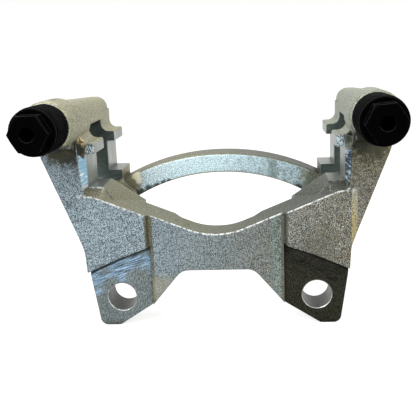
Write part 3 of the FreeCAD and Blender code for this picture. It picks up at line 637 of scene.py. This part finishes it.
def black_rubber(settings):
    """Matt black rubber of the boots, with dust and a painted highlight on the upward crests of its folds."""
    material, tree, shader = new_material("black_rubber", 0.5, 0.0)
    shader.inputs["Specular IOR Level"].default_value = settings.shine
    place = object_place(tree)
    grain = noise(tree, place, 2500.0, 2.0)
    dust = step_between(tree, noise(tree, place, 160.0, 3.0), 0.45, 0.75)
    facing = split(tree, add_node(tree, "ShaderNodeNewGeometry").outputs["Normal"])
    crest = step_between(tree, compute(tree, "ABSOLUTE", facing["Y"]), 0.16, 0.03)
    upward = step_between(tree, facing["Z"], 0.05, 0.6)
    tone = blend_colours(tree, product(tree, dust, 0.4), settings.colour, settings.dust_colour)
    dusty_sheen = product(tree, crest, upward, settings.crest_dust_and_sheen)
    tone = blend_colours(tree, dusty_sheen, tone, settings.crest_dust_and_sheen_colour)
    roughness = step_between(tree, dust, 0.0, 1.0, 0.42, 0.6)
    set_inputs(tree, shader, {"Base Color": tone, "Roughness": roughness})
    add_bump(tree, shader, grain, 0.00004, 0.3)
    return material


# Settings that a user would change
def colour_setting(name, description, default):
    return FloatVectorProperty(
        name=name, description=description, default=default, subtype="COLOR", size=3, min=0.0, max=1.0)


def length_setting(name, description, default):
    return FloatProperty(name=name, description=description, default=default, unit="LENGTH", precision=5)


def power_setting(name, description, default):
    return FloatProperty(name=name, description=description, default=default, unit="POWER")


def angle_setting(name, description, degrees):
    return FloatProperty(
        name=name, description=description, default=math.radians(degrees), subtype="ANGLE", unit="ROTATION")


def share_setting(name, description, default):
    return FloatProperty(name=name, description=description, default=default, min=0.0, max=1.0)


class StageSettings(bpy.types.PropertyGroup):
    """Floor, background, lamps and camera."""

    floor_colour: colour_setting("Floor", "Colour of the floor", (0.45, 0.45, 0.45))
    floor_glow: FloatProperty(name="Glow", description="Extra brightness of the floor as seen", default=0.75)
    sky_level: FloatProperty(name="Sky", description="Light from all around", default=0.6, min=0.0)
    key_power: power_setting("Key", "Power of the main lamp", 5.0)
    fill_power: power_setting("Fill", "Power of the lamp on the right", 2.0)
    top_power: power_setting("Top", "Power of the lamp overhead", 1.8)
    camera_place: FloatVectorProperty(
        name="Camera", description="Where the camera stands", default=(0.023443, -0.348851, 0.126449),
        subtype="TRANSLATION", unit="LENGTH", size=3, precision=5)
    camera_turn: angle_setting("Turn", "How far the camera looks to its left", 4.507)
    camera_dip: angle_setting("Dip", "How far the camera looks down", 12.7)
    camera_roll: angle_setting("Roll", "How far the camera leans to its right", 2.343)
    focal_pixels: FloatProperty(
        name="Focal length", description="Focal length in pixels of the photograph", default=700.07)


class CastingSettings(bpy.types.PropertyGroup):
    """Finish of the cast bracket."""

    # The blue of the fronts, the straw of the sides and the bright arch are partly painted reflections of the
    # lamps; the darker right-hand tones are painted shade.
    front_colour: colour_setting("Front", "Plating towards the knuckle, left", (0.175, 0.225, 0.25))
    front_right_shade_colour: colour_setting(
        "Front right", "Plating towards the knuckle, right", (0.13, 0.128, 0.103))
    arch_sheen_colour: colour_setting("Arch", "Front of the tie arch, left", (0.7, 0.91, 1.0))
    arch_right_sheen_colour: colour_setting("Arch right", "Front of the tie arch, right", (0.4, 0.53, 0.57))
    back_colour: colour_setting("Back", "Plating on the faces away from the knuckle", (0.24, 0.265, 0.26))
    side_colour: colour_setting("Side", "Plating on the sides, left", (0.31, 0.3, 0.19))
    side_right_shade_colour: colour_setting("Side right", "Plating on the sides, right", (0.265, 0.285, 0.222))
    warm_colour: colour_setting("Warm", "Straw coloured patches on the front, right", (0.13, 0.11, 0.065))
    green_colour: colour_setting("Green", "Band on the web beside the right ear", (0.13, 0.185, 0.165))
    pit_colour: colour_setting("Pits", "Small stains on the sides", (0.07, 0.07, 0.045))
    # Painted shade below the right boss, olive.
    boss_shade_olive_colour: colour_setting("Olive", "Stained plating below the right boss", (0.11, 0.1, 0.052))
    lug_colour: colour_setting("Lugs", "Front ends of the small lugs", (0.33, 0.4, 0.43))
    # Painted reflection of warm light on the strip beside the right ear.
    straw_reflection_colour: colour_setting("Straw", "Strip beside the right ear", (0.3, 0.25, 0.12))
    # Warm tint on the outer edges on the right.
    warm_edge_colour: colour_setting("Rust", "Outer edges on the right", (0.3, 0.2, 0.07))
    # Painted highlight on the edges that face up and forward.
    edge_highlight_colour: colour_setting("Edges", "Bare edges that face up and forward", (0.95, 0.97, 0.95))
    # Painted shade on the low tops and at the roots beside the ears.
    top_shade: share_setting("Top shade", "How much darker the low tops are, left", 0.38)
    top_right_shade: share_setting("Top right", "How much darker the low tops are, right", 0.72)
    root_shade: share_setting("Roots", "How dark the roots beside the ears are", 0.66)
    # Painted shade in roots and corners.
    crevice_shade: share_setting("Crevices", "How dark roots and corners are", 0.75)
    side_contrast: share_setting("Side contrast", "Share of the specks on the sides", 0.4)
    grain: length_setting("Grain", "Size of the casting's specks", 0.0005)
    contrast: FloatProperty(name="Contrast", description="Contrast of the specks", default=1.75, min=0.0)
    # Strength of the painted glints.
    glint: share_setting("Glint", "Strength of the bright specks", 0.6)
    edge_round: length_setting("Edge", "Radius of the casting's edges", 0.0017)
    ear_inner_x: length_setting("Ear", "Distance of the ears' inner edges from the middle", 0.0344)
    step_z: length_setting("Step", "Height of the slanting step at the ears' inner edges", 0.0286)
    step_slope: FloatProperty(name="Slope", description="Fall of the slanting step outwards", default=0.414)
    step_middle_x: length_setting("Step middle", "Distance of the step's middle from the middle", 0.0513)
    step_half: length_setting("Step half", "Half the step's length", 0.0169)
    step_bow: length_setting("Step bow", "How far the step is bowed upwards", 0.001)
    slot_floor_x: length_setting("Slot floor", "Distance of the pad slots' floors from the middle", 0.0661)
    seat_depth: length_setting("Seat", "Depth of the bolt seats at the back", 0.0185)
    seat_radius: length_setting("Seat radius", "Radius of the bolt seats", 0.0131)
    slot_front: length_setting("Slot front", "Depth at which the inboard pad slots begin", 0.0038)
    strip_x: length_setting("Strips", "Distance of the bright strips' inner edges from the middle", 0.066)
    gap_face_z: length_setting("Gap face", "Lowest height that is milled towards the rotor", 0.0525)
    gap_front: length_setting("Gap front", "Depth behind which the rotor's gap begins", 0.0262)
    gap_back: length_setting("Gap back", "Depth before which the rotor's gap ends", 0.0565)
    lug_x: length_setting("Lugs", "Distance of the lugs from the middle", 0.058)
    slot_low: length_setting("Slot low", "Height of the lugs' tops", 0.0592)
    slot_high: length_setting("Slot high", "Height of the hooks' undersides", 0.0765)
    hook_end_x: length_setting("Hook ends", "Distance of the hooks' ends from the middle", 0.0616)


class PinSettings(bpy.types.PropertyGroup):
    """Finish of the guide pins."""

    colour: colour_setting("Colour", "Blackened steel", (0.0003, 0.0003, 0.0004))
    speck_colour: colour_setting("Specks", "Lighter specks in the blackening", (0.0008, 0.0008, 0.0009))
    # Painted highlight on the upper edges of the pins, and how strong it is.
    edge_highlight_colour: colour_setting("Edges", "Worn edges", (0.06, 0.06, 0.062))
    edge_highlight_share: share_setting("Wear", "How bare the edges are", 0.8)
    shine: share_setting("Shine", "Strength of the reflection", 0.01)


class BootSettings(bpy.types.PropertyGroup):
    """Shape and finish of the rubber boots."""

    colour: colour_setting("Colour", "Rubber", (0.0006, 0.0006, 0.0006))
    dust_colour: colour_setting("Dust", "Dust on the rubber", (0.0015, 0.0015, 0.0014))
    # Dust and a painted highlight on the crests of the folds.
    crest_dust_and_sheen_colour: colour_setting("Crests", "Dust on the crests of the folds", (0.09, 0.09, 0.083))
    crest_dust_and_sheen: share_setting("Crest wear", "How dusty the crests are", 0.6)
    shine: share_setting("Shine", "Strength of the reflection", 0.02)
    folds: IntProperty(name="Folds", description="Grooves between the folds", default=7, min=1)
    crest_radius: length_setting("Crest", "Radius of the folds", 0.0112)
    fold_depth: length_setting("Fold depth", "Depth of the grooves", 0.0009)
    wall: length_setting("Wall", "Thickness of the rubber", 0.0013)
    collar_radius: length_setting("Collar", "Radius of the collar in the pin's groove", 0.0066)
    lip_radius: length_setting("Lip", "Radius of the lip in the boss", 0.0083)
    lip_length: length_setting("Lip length", "How far the lip reaches into the boss", 0.0038)
    collar_length: length_setting("Collar length", "Length of the collar", 0.0028)
    collar_bevel: length_setting("Collar bevel", "Width of the bevel on the collar's edge", 0.0006)
    end_round: length_setting("End round", "Rounding of the boot's two ends", 0.0015)


# Operators, one for each piece or group of like pieces
def deselect_all():
    bpy.ops.object.select_all(action="DESELECT")


def aim(place, target):
    """The turn of a lamp that stands at one place and shines at another."""
    return (Vector(target) - Vector(place)).to_track_quat("-Z", "Y").to_euler()


class BRACKET_OT_stage(bpy.types.Operator):
    """Adds the pale floor, the white background, three soft lamps and the camera"""

    bl_idname = "bracket.stage"
    bl_label = "Add stage"

    def execute(self, context):
        settings = context.scene.bracket_stage
        self.add_floor(settings)
        self.light_sky(context.scene, settings)
        middle = (cad_low + cad_high) / 2
        for name, place, power, side in LAMPS:
            deselect_all()
            bpy.ops.object.light_add(type="AREA", location=place, rotation=aim(place, middle))
            lamp = context.object
            lamp.name = name
            lamp.data.energy = getattr(settings, power)
            lamp.data.size = side
        self.add_camera(context.scene, settings)
        context.scene.view_settings.view_transform = "Standard"
        return {"FINISHED"}

    def add_floor(self, settings):
        deselect_all()
        bpy.ops.mesh.primitive_plane_add(size=FLOOR_SIZE, location=(0.0, 0.0, cad_low.z - FLOOR_DROP))
        floor = bpy.context.object
        floor.name = "floor"
        material, tree, shader = new_material("pale_floor", 0.9, 0.0)
        set_inputs(tree, shader, {"Base Color": settings.floor_colour, "Specular IOR Level": 0.0})
        rays = add_node(tree, "ShaderNodeLightPath").outputs
        seen = compute(tree, "MAXIMUM", rays["Is Camera Ray"], rays["Is Glossy Ray"])
        glow = add_node(tree, "ShaderNodeEmission", {
            "Color": WHITE, "Strength": product(tree, seen, settings.floor_glow),
        })
        both = add_node(tree, "ShaderNodeAddShader", {0: shader.outputs[0], 1: glow.outputs[0]})
        tree.links.new(both.outputs[0], tree.nodes["Material Output"].inputs["Surface"])
        floor.data.materials.append(material)

    def light_sky(self, scene, settings):
        sky = bpy.data.worlds.new("plain_sky")
        scene.world = sky
        sky.use_nodes = True
        tree = sky.node_tree
        rays = add_node(tree, "ShaderNodeLightPath").outputs
        seen = compute(tree, "MAXIMUM", rays["Is Camera Ray"], rays["Is Glossy Ray"])
        seen = compute(tree, "MAXIMUM", seen, rays["Is Transmission Ray"])
        strength = step_between(tree, seen, 0.0, 1.0, settings.sky_level, 1.0)
        set_inputs(tree, tree.nodes["Background"], {"Color": WHITE, "Strength": strength})

    def add_camera(self, scene, settings):
        turn = Matrix.Rotation(settings.camera_turn, 3, "Z")
        dip = Matrix.Rotation(math.radians(90.0) - settings.camera_dip, 3, "X")
        roll = Matrix.Rotation(-settings.camera_roll, 3, "Z")
        deselect_all()
        bpy.ops.object.camera_add(location=settings.camera_place, rotation=(turn @ dip @ roll).to_euler())
        camera = bpy.context.object
        camera.name = "photo_camera"
        camera.data.sensor_width = SENSOR_WIDTH
        camera.data.lens = settings.focal_pixels / PHOTO_SIDE * SENSOR_WIDTH
        camera.data.clip_start = NEAREST_SEEN
        scene.camera = camera


class BRACKET_OT_casting(bpy.types.Operator):
    """Gives each kind of surface of the casting its own finish"""

    bl_idname = "bracket.casting"
    bl_label = "Finish casting"

    def execute(self, context):
        settings = context.scene.bracket_casting
        casting = frame["nodes"]["bracket_casting"]
        finishes = {"cast": cast_zinc(settings)}
        for side in SIDES:
            finishes["ear_" + side] = milled_ear("ear_" + side, settings, **EAR_TONES[side])
        for kind, values in MILLED_FACES.items():
            finishes[kind] = milled_zinc(**values)
        casting.data.materials.clear()
        for finish in finishes.values():
            casting.data.materials.append(finish)
        order = list(finishes)
        for face in casting.data.polygons:
            face.material_index = order.index(self.kind_of_face(face.center, face.normal, settings))
        return {"FINISHED"}

    def kind_of_face(self, place, normal, settings):
        """Which finish the face at a place belongs to."""
        side = "left" if place.x < 0 else "right"
        if abs(place.y) < SAME_PLACE and normal.y < -SQUARELY:
            return "ear_" + side
        return (
            self.kind_at_hole(place, normal, settings, BOLT_PLACE[side])
            or self.kind_at_slot(place, normal, settings, side)
            or self.kind_at_gap(place, normal, settings)
            or "cast")

    def kind_at_hole(self, place, normal, settings, pin_axis):
        """Seats, rims and walls of the mounting holes, and walls of the pin bores."""
        mount_x = math.copysign(MOUNT_X, place.x)
        at_seat = abs(place.y - settings.seat_depth) < SAME_PLACE and normal.y > SQUARELY
        if at_seat and math.hypot(place.x - mount_x, place.z) < settings.seat_radius:
            return "seat"
        into_mount = self.looks_inward(place, normal, mount_x, 0.0)
        if abs(place.y) < RIM_DEPTH and RIM_INWARD < into_mount < WALL_INWARD:
            return "rim"
        if max(into_mount, self.looks_inward(place, normal, pin_axis.x, pin_axis.z)) > WALL_INWARD:
            return "bore"
        return None

    def kind_at_slot(self, place, normal, settings, side):
        """Bright strips in front of the pad slots, the slots' own walls, and the hooks' ends."""
        across = abs(place.x)
        in_slot = settings.slot_low - SAME_PLACE < place.z < settings.slot_high + SAME_PLACE
        before_slot = place.y < settings.slot_front + SAME_PLACE
        if in_slot and before_slot and abs(normal.x) > STRIP_FACING and across > settings.strip_x:
            return "strip_" + side
        sideways = abs(normal.x) > SQUARELY
        if in_slot and place.y > settings.slot_front - SAME_PLACE:
            on_floor = abs(across - settings.slot_floor_x) < SAME_PLACE and sideways
            on_web_top = abs(place.z - settings.slot_low) < SAME_PLACE and normal.z > SQUARELY
            on_lug = on_web_top and across > settings.lug_x
            on_hook = abs(place.z - settings.slot_high) < SAME_PLACE and normal.z < -SQUARELY
            if on_floor or on_lug or on_hook:
                return "slot"
        at_hook_end = abs(across - settings.hook_end_x) < SAME_PLACE
        if at_hook_end and sideways and place.z > settings.slot_high - SAME_PLACE:
            return "slot"
        return None

    def kind_at_gap(self, place, normal, settings):
        """Walls on both sides of the rotor."""
        in_gap = settings.gap_front < place.y < settings.gap_back and place.z > settings.gap_face_z
        return "gap" if in_gap and abs(normal.y) > SQUARELY else None

    def looks_inward(self, place, normal, middle_x, middle_z):
        """How squarely a face looks at the axis of a hole along Y: 1 on the hole's wall, 0 far away."""
        inward = Vector((middle_x - place.x, 0.0, middle_z - place.z))
        return inward.normalized().dot(normal) if inward.length < HOLE_REACH else 0.0


class BRACKET_OT_pins(bpy.types.Operator):
    """Blackens the two guide pins"""

    bl_idname = "bracket.pins"
    bl_label = "Finish guide pins"

    def execute(self, context):
        steel = black_steel(context.scene.bracket_pins)
        for side in SIDES:
            pin = frame["nodes"]["guide_pin_" + side]
            pin.data.materials.clear()
            pin.data.materials.append(steel)
        return {"FINISHED"}


class BRACKET_OT_boots(bpy.types.Operator):
    """Models the folded rubber boots between the bosses and the guide pins"""

    bl_idname = "bracket.boots"
    bl_label = "Model boots"

    def execute(self, context):
        settings = context.scene.bracket_boots
        rubber = black_rubber(settings)
        for side in SIDES:
            node = "pin_boot_" + side
            low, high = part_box(node)
            boot = self.model_boot(settings, low, high)
            boot.name = "boot_" + side
            boot.data.materials.append(rubber)
            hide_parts(node)
            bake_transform(boot)
        return {"FINISHED"}

    def profile(self, settings, low, high):
        """Rings of the boot from the pin's collar to the boss's lip, as (depth, radius)."""
        front, back = low.y, high.y - settings.lip_length
        collar, crest, corner = settings.collar_radius, settings.crest_radius, settings.end_round
        rings = [(front + settings.collar_length, collar), (front + COLLAR_BEVEL_DEPTH, collar)]
        rings += [(front, collar + settings.collar_bevel), (front, crest - corner)]
        rings += [(front + CORNER_DEPTH, crest - CORNER_INSET), (front + corner, crest)]
        start, end = front + corner, back - corner
        for fold in range(settings.folds):
            for step in range(1, FOLD_STEPS + 1):
                share = step / FOLD_STEPS
                dip = (0.5 - 0.5 * math.cos(2 * math.pi * share)) ** FOLD_SHARPNESS
                depth = start + (end - start) * (fold + share) / settings.folds
                rings.append((depth, crest - settings.fold_depth * dip))
        rings += [(back - CORNER_DEPTH, crest - CORNER_INSET), (back, crest - corner)]
        rings += [(back, settings.lip_radius), (high.y, settings.lip_radius)]
        return rings

    def model_boot(self, settings, low, high):
        """Draws the boot as one ring that is extruded and scaled step by step."""
        rings = self.profile(settings, low, high)
        middle = (low + high) / 2
        deselect_all()
        bpy.ops.mesh.primitive_circle_add(
            vertices=RING_POINTS, radius=rings[0][1], location=(middle.x, rings[0][0], middle.z),
            rotation=(math.radians(90.0), 0.0, 0.0))
        boot = bpy.context.object
        bpy.ops.object.transform_apply(location=True, rotation=True, scale=True)
        bpy.ops.object.mode_set(mode="EDIT")
        bpy.ops.mesh.select_all(action="SELECT")
        for (depth, radius), (next_depth, next_radius) in zip(rings, rings[1:]):
            move = (0.0, next_depth - depth, 0.0)
            bpy.ops.mesh.extrude_region_move(TRANSFORM_OT_translate={"value": move})
            grow = next_radius / radius
            centre = (middle.x, next_depth, middle.z)
            bpy.ops.transform.resize(value=(grow, 1.0, grow), center_override=centre)
        bpy.ops.mesh.select_all(action="SELECT")
        bpy.ops.mesh.normals_make_consistent(inside=False)
        bpy.ops.object.mode_set(mode="OBJECT")
        wall = boot.modifiers.new("wall", "SOLIDIFY")
        wall.thickness = settings.wall
        wall.offset = -1.0
        bpy.ops.object.modifier_apply(modifier="wall")
        bpy.ops.object.shade_smooth_by_angle(angle=SMOOTH_ANGLE)
        return boot


class BRACKET_PT_panel(bpy.types.Panel):
    """Lists the steps and their settings"""

    bl_idname = "BRACKET_PT_panel"
    bl_label = "Brake caliper bracket"
    bl_space_type = "VIEW_3D"
    bl_region_type = "UI"
    bl_category = "Bracket"

    def draw(self, context):
        for operator, settings in STEPS:
            box = self.layout.box()
            box.operator(operator)
            group = getattr(context.scene, settings)
            for name in group.__annotations__:
                box.prop(group, name)


STEPS = (
    ("bracket.stage", "bracket_stage"),
    ("bracket.casting", "bracket_casting"),
    ("bracket.pins", "bracket_pins"),
    ("bracket.boots", "bracket_boots"),
)
SETTINGS = {
    "bracket_stage": StageSettings,
    "bracket_casting": CastingSettings,
    "bracket_pins": PinSettings,
    "bracket_boots": BootSettings,
}
CLASSES = (
    *SETTINGS.values(), BRACKET_OT_stage, BRACKET_OT_casting, BRACKET_OT_pins, BRACKET_OT_boots,
    BRACKET_PT_panel,
)
MASK_MAKERS = (make_cast_grain, make_crevice_mask, make_edge_mask, make_tool_marks, make_spot_mask)


def register():
    for cls in CLASSES:
        bpy.utils.register_class(cls)
    for name, group in SETTINGS.items():
        setattr(bpy.types.Scene, name, PointerProperty(type=group))


def unregister():
    for name in SETTINGS:
        delattr(bpy.types.Scene, name)
    for cls in reversed(CLASSES):
        bpy.utils.unregister_class(cls)


def main():
    register()
    for make_group in MASK_MAKERS:
        make_group()
    bpy.ops.bracket.stage()
    bpy.ops.bracket.casting()
    bpy.ops.bracket.pins()
    bpy.ops.bracket.boots()


if __name__ == "__main__":
    main()
